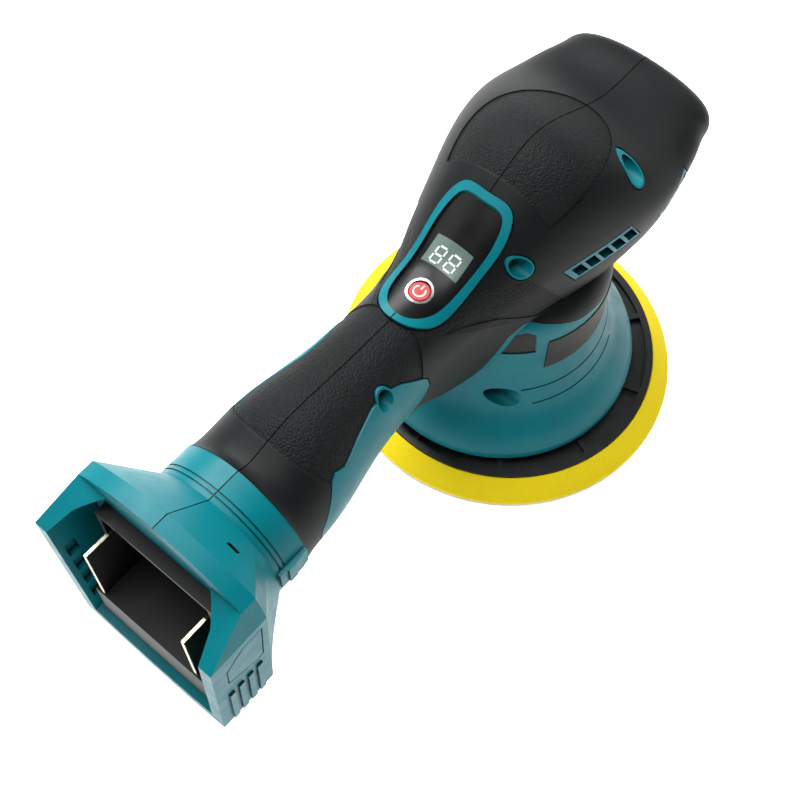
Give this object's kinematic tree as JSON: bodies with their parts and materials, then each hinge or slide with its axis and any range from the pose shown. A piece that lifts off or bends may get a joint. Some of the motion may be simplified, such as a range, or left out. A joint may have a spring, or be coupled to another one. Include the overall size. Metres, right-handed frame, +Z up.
{
  "type": "dual action polisher",
  "caption": "Cordless dual action polisher with bell shroud, soft-grip handle, control panel, battery foot and foam pad on an eccentric free-turning spindle.",
  "frame": {"origin": "on the motor axis, in the plane of the pad's working face", "axes": "+X from the battery foot along the handle to the nose, +Y to the left of a user, +Z up out of the pad along the motor axis"},
  "size_m": [0.2957, 0.15, 0.1552],
  "materials": {
    "shell_teal": "fine satin grain",
    "soft_black": "soft-touch, pebbled in fields",
    "inlay_black": "satin",
    "panel_black": "gloss",
    "window_pale": "gloss",
    "ring_metal": "polished",
    "button_red": "satin",
    "board_green": "varnished circuit board",
    "switch_black": "moulded",
    "lead_black": "smooth insulation",
    "steel": "machined",
    "lamination": "stacked sheet",
    "copper": "lacquered copper wire",
    "aluminium": "die cast",
    "fan_black": "moulded",
    "contact_brass": "plated",
    "socket_black": "satin",
    "plate_black": "printed film, left blank",
    "pad_black": "moulded",
    "foam_yellow": "open-cell foam",
    "hook_white": "hook-and-loop sheet",
    "seal_black": "lip seal"
  },
  "bodies": {
    "body": {"housing_left": "shell_teal", "housing_right": "shell_teal", "grip_cover_left": "soft_black", "grip_cover_right": "soft_black", "neck_inlay_left": "inlay_black", "neck_inlay_right": "inlay_black", "control_panel": "panel_black", "display_window": "window_pale", "button_ring": "ring_metal", "control_board": "board_green", "button_switch": "switch_black", "display_module": "switch_black", "power_leads": "lead_black", "motor_plug": "switch_black", "motor_leads": "lead_black", "guide_rail_left": "socket_black", "guide_rail_right": "socket_black", "terminal_block": "socket_black", "battery_terminals": "contact_brass", "motor_can": "steel", "motor_stator": "lamination", "motor_windings": "copper", "motor_bracket": "aluminium", "lower_bearing": "steel", "motor_end_cap": "aluminium", "upper_bearing": "steel", "sensor_board": "board_green", "shell_screws": "steel", "rating_plate": "plate_black"},
    "drive": {"motor_rotor": "lamination", "motor_shaft": "steel", "cooling_fan": "fan_black", "eccentric_carrier": "aluminium", "counterweight": "steel", "eccentric_bearing": "steel", "dust_seal": "seal_black"},
    "pad": {"pad_spindle": "steel", "pad_stud": "steel", "backing_plate": "pad_black", "foam_pad": "foam_yellow", "hook_layer": "hook_white"},
    "button": {"start_button": "button_red"}
  },
  "joints": [
    {"name": "drive_spin", "type": "hinge", "parent": "body", "child": "drive", "pos_m": [0, 0, 0], "axis": [0, 0, 1], "continuous": true},
    {"name": "pad_spin", "type": "hinge", "parent": "drive", "child": "pad", "pos_m": [0.00212, -0.00339, 0], "axis": [0, 0, 1], "continuous": true},
    {"name": "button_press", "type": "slide", "parent": "body", "child": "button", "axis": [0, 0, -1], "range_m": [0, 0.0006], "stiffness_N_per_m": 2000, "springref_m": -0.0004}
  ]
}
